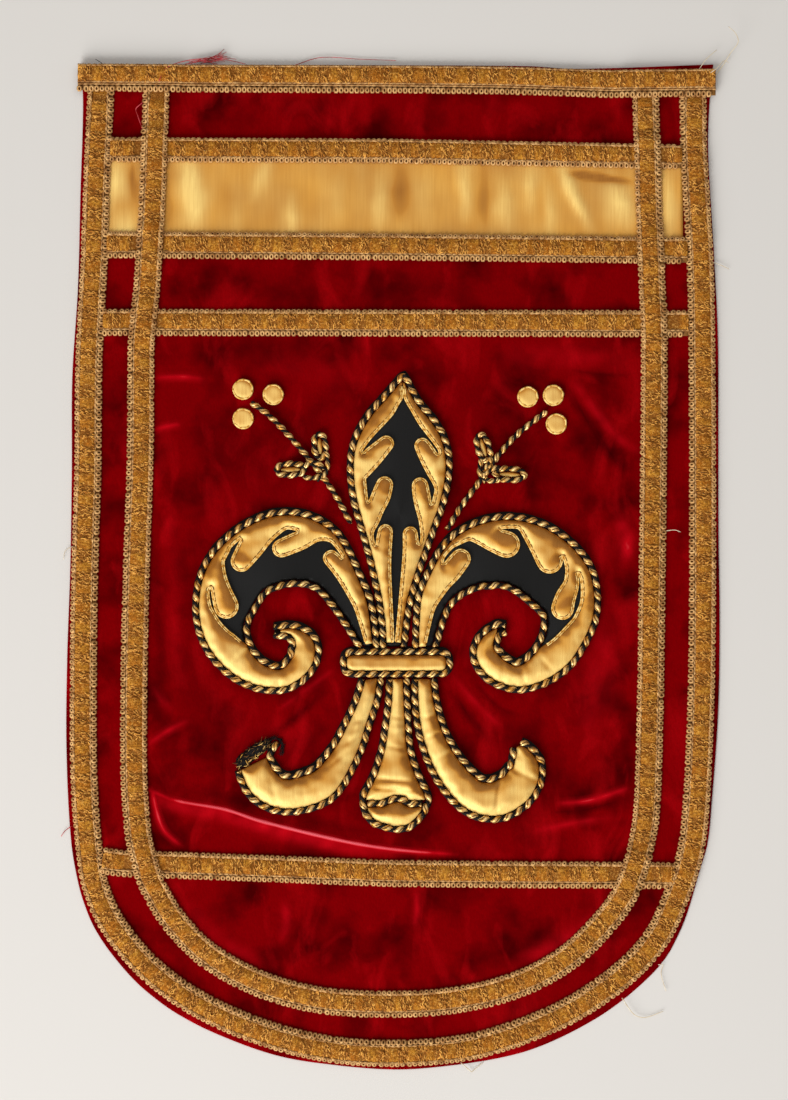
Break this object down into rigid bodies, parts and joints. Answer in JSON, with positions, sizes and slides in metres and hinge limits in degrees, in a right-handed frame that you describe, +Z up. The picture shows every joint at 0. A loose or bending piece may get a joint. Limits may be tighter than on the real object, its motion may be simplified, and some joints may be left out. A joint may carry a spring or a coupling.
{
  "type": "church banner",
  "caption": "Flat velvet church banner with a round foot, framed by gold braid, with a padded satin lily and two sprigs edged in couched cord.",
  "frame": {"origin": "on the surface below the centre of the banner's outline", "axes": "+X to the right across the banner's face, +Y towards its straight top edge, +Z up out of its face"},
  "size_m": [0.4341, 0.668, 0.0073],
  "materials": {
    "red velvet": "crushed pile velvet with a soft sheen",
    "gold satin": "smooth satin, softly glossy",
    "black satin": "smooth satin, softly glossy",
    "gold pile braid": "cut pile and looped gimp, matt",
    "twisted metal-thread cord": "gold and black strands twisted together, glinting",
    "frayed black felt": "frayed and matt"
  },
  "bodies": {
    "root": {"velvet_panel": "red velvet", "braid_cross_1": "gold pile braid", "braid_cross_2": "gold pile braid", "braid_cross_3": "gold pile braid", "braid_cross_4": "gold pile braid", "braid_inner": "gold pile braid", "braid_outer": "gold pile braid", "braid_top": "gold pile braid", "collar": "gold satin", "cord_collar": "twisted metal-thread cord", "cord_foot_centre": "twisted metal-thread cord", "cord_foot_centre_tip": "twisted metal-thread cord", "cord_foot_left_lower": "twisted metal-thread cord", "cord_foot_left_upper": "twisted metal-thread cord", "cord_foot_right_inner": "twisted metal-thread cord", "cord_foot_right_outer": "twisted metal-thread cord", "cord_petal": "twisted metal-thread cord", "cord_scroll_left_inner": "twisted metal-thread cord", "cord_scroll_left_outer": "twisted metal-thread cord", "cord_scroll_right_inner": "twisted metal-thread cord", "cord_scroll_right_outer": "twisted metal-thread cord", "flame_petal_left": "gold satin", "flame_petal_right": "gold satin", "flame_scroll_left": "gold satin", "flame_scroll_right": "gold satin", "foot_centre": "gold satin", "foot_centre_tip": "gold satin", "foot_left": "gold satin", "foot_left_fray": "frayed black felt", "foot_right": "gold satin", "ground_petal": "black satin", "ground_scroll_left": "black satin", "ground_scroll_right": "black satin", "satin_band": "gold satin", "sprig_left_disc_1": "gold satin", "sprig_left_disc_2": "gold satin", "sprig_left_disc_3": "gold satin", "sprig_left_leaf_lower": "gold satin", "sprig_left_leaf_upper": "gold satin", "sprig_left_loop_lower": "twisted metal-thread cord", "sprig_left_loop_upper": "twisted metal-thread cord", "sprig_left_stem": "twisted metal-thread cord", "sprig_right_disc_1": "gold satin", "sprig_right_disc_2": "gold satin", "sprig_right_disc_3": "gold satin", "sprig_right_leaf_lower": "gold satin", "sprig_right_leaf_upper": "gold satin", "sprig_right_loop_lower": "twisted metal-thread cord", "sprig_right_loop_upper": "twisted metal-thread cord", "sprig_right_stem": "twisted metal-thread cord"}
  },
  "joints": []
}
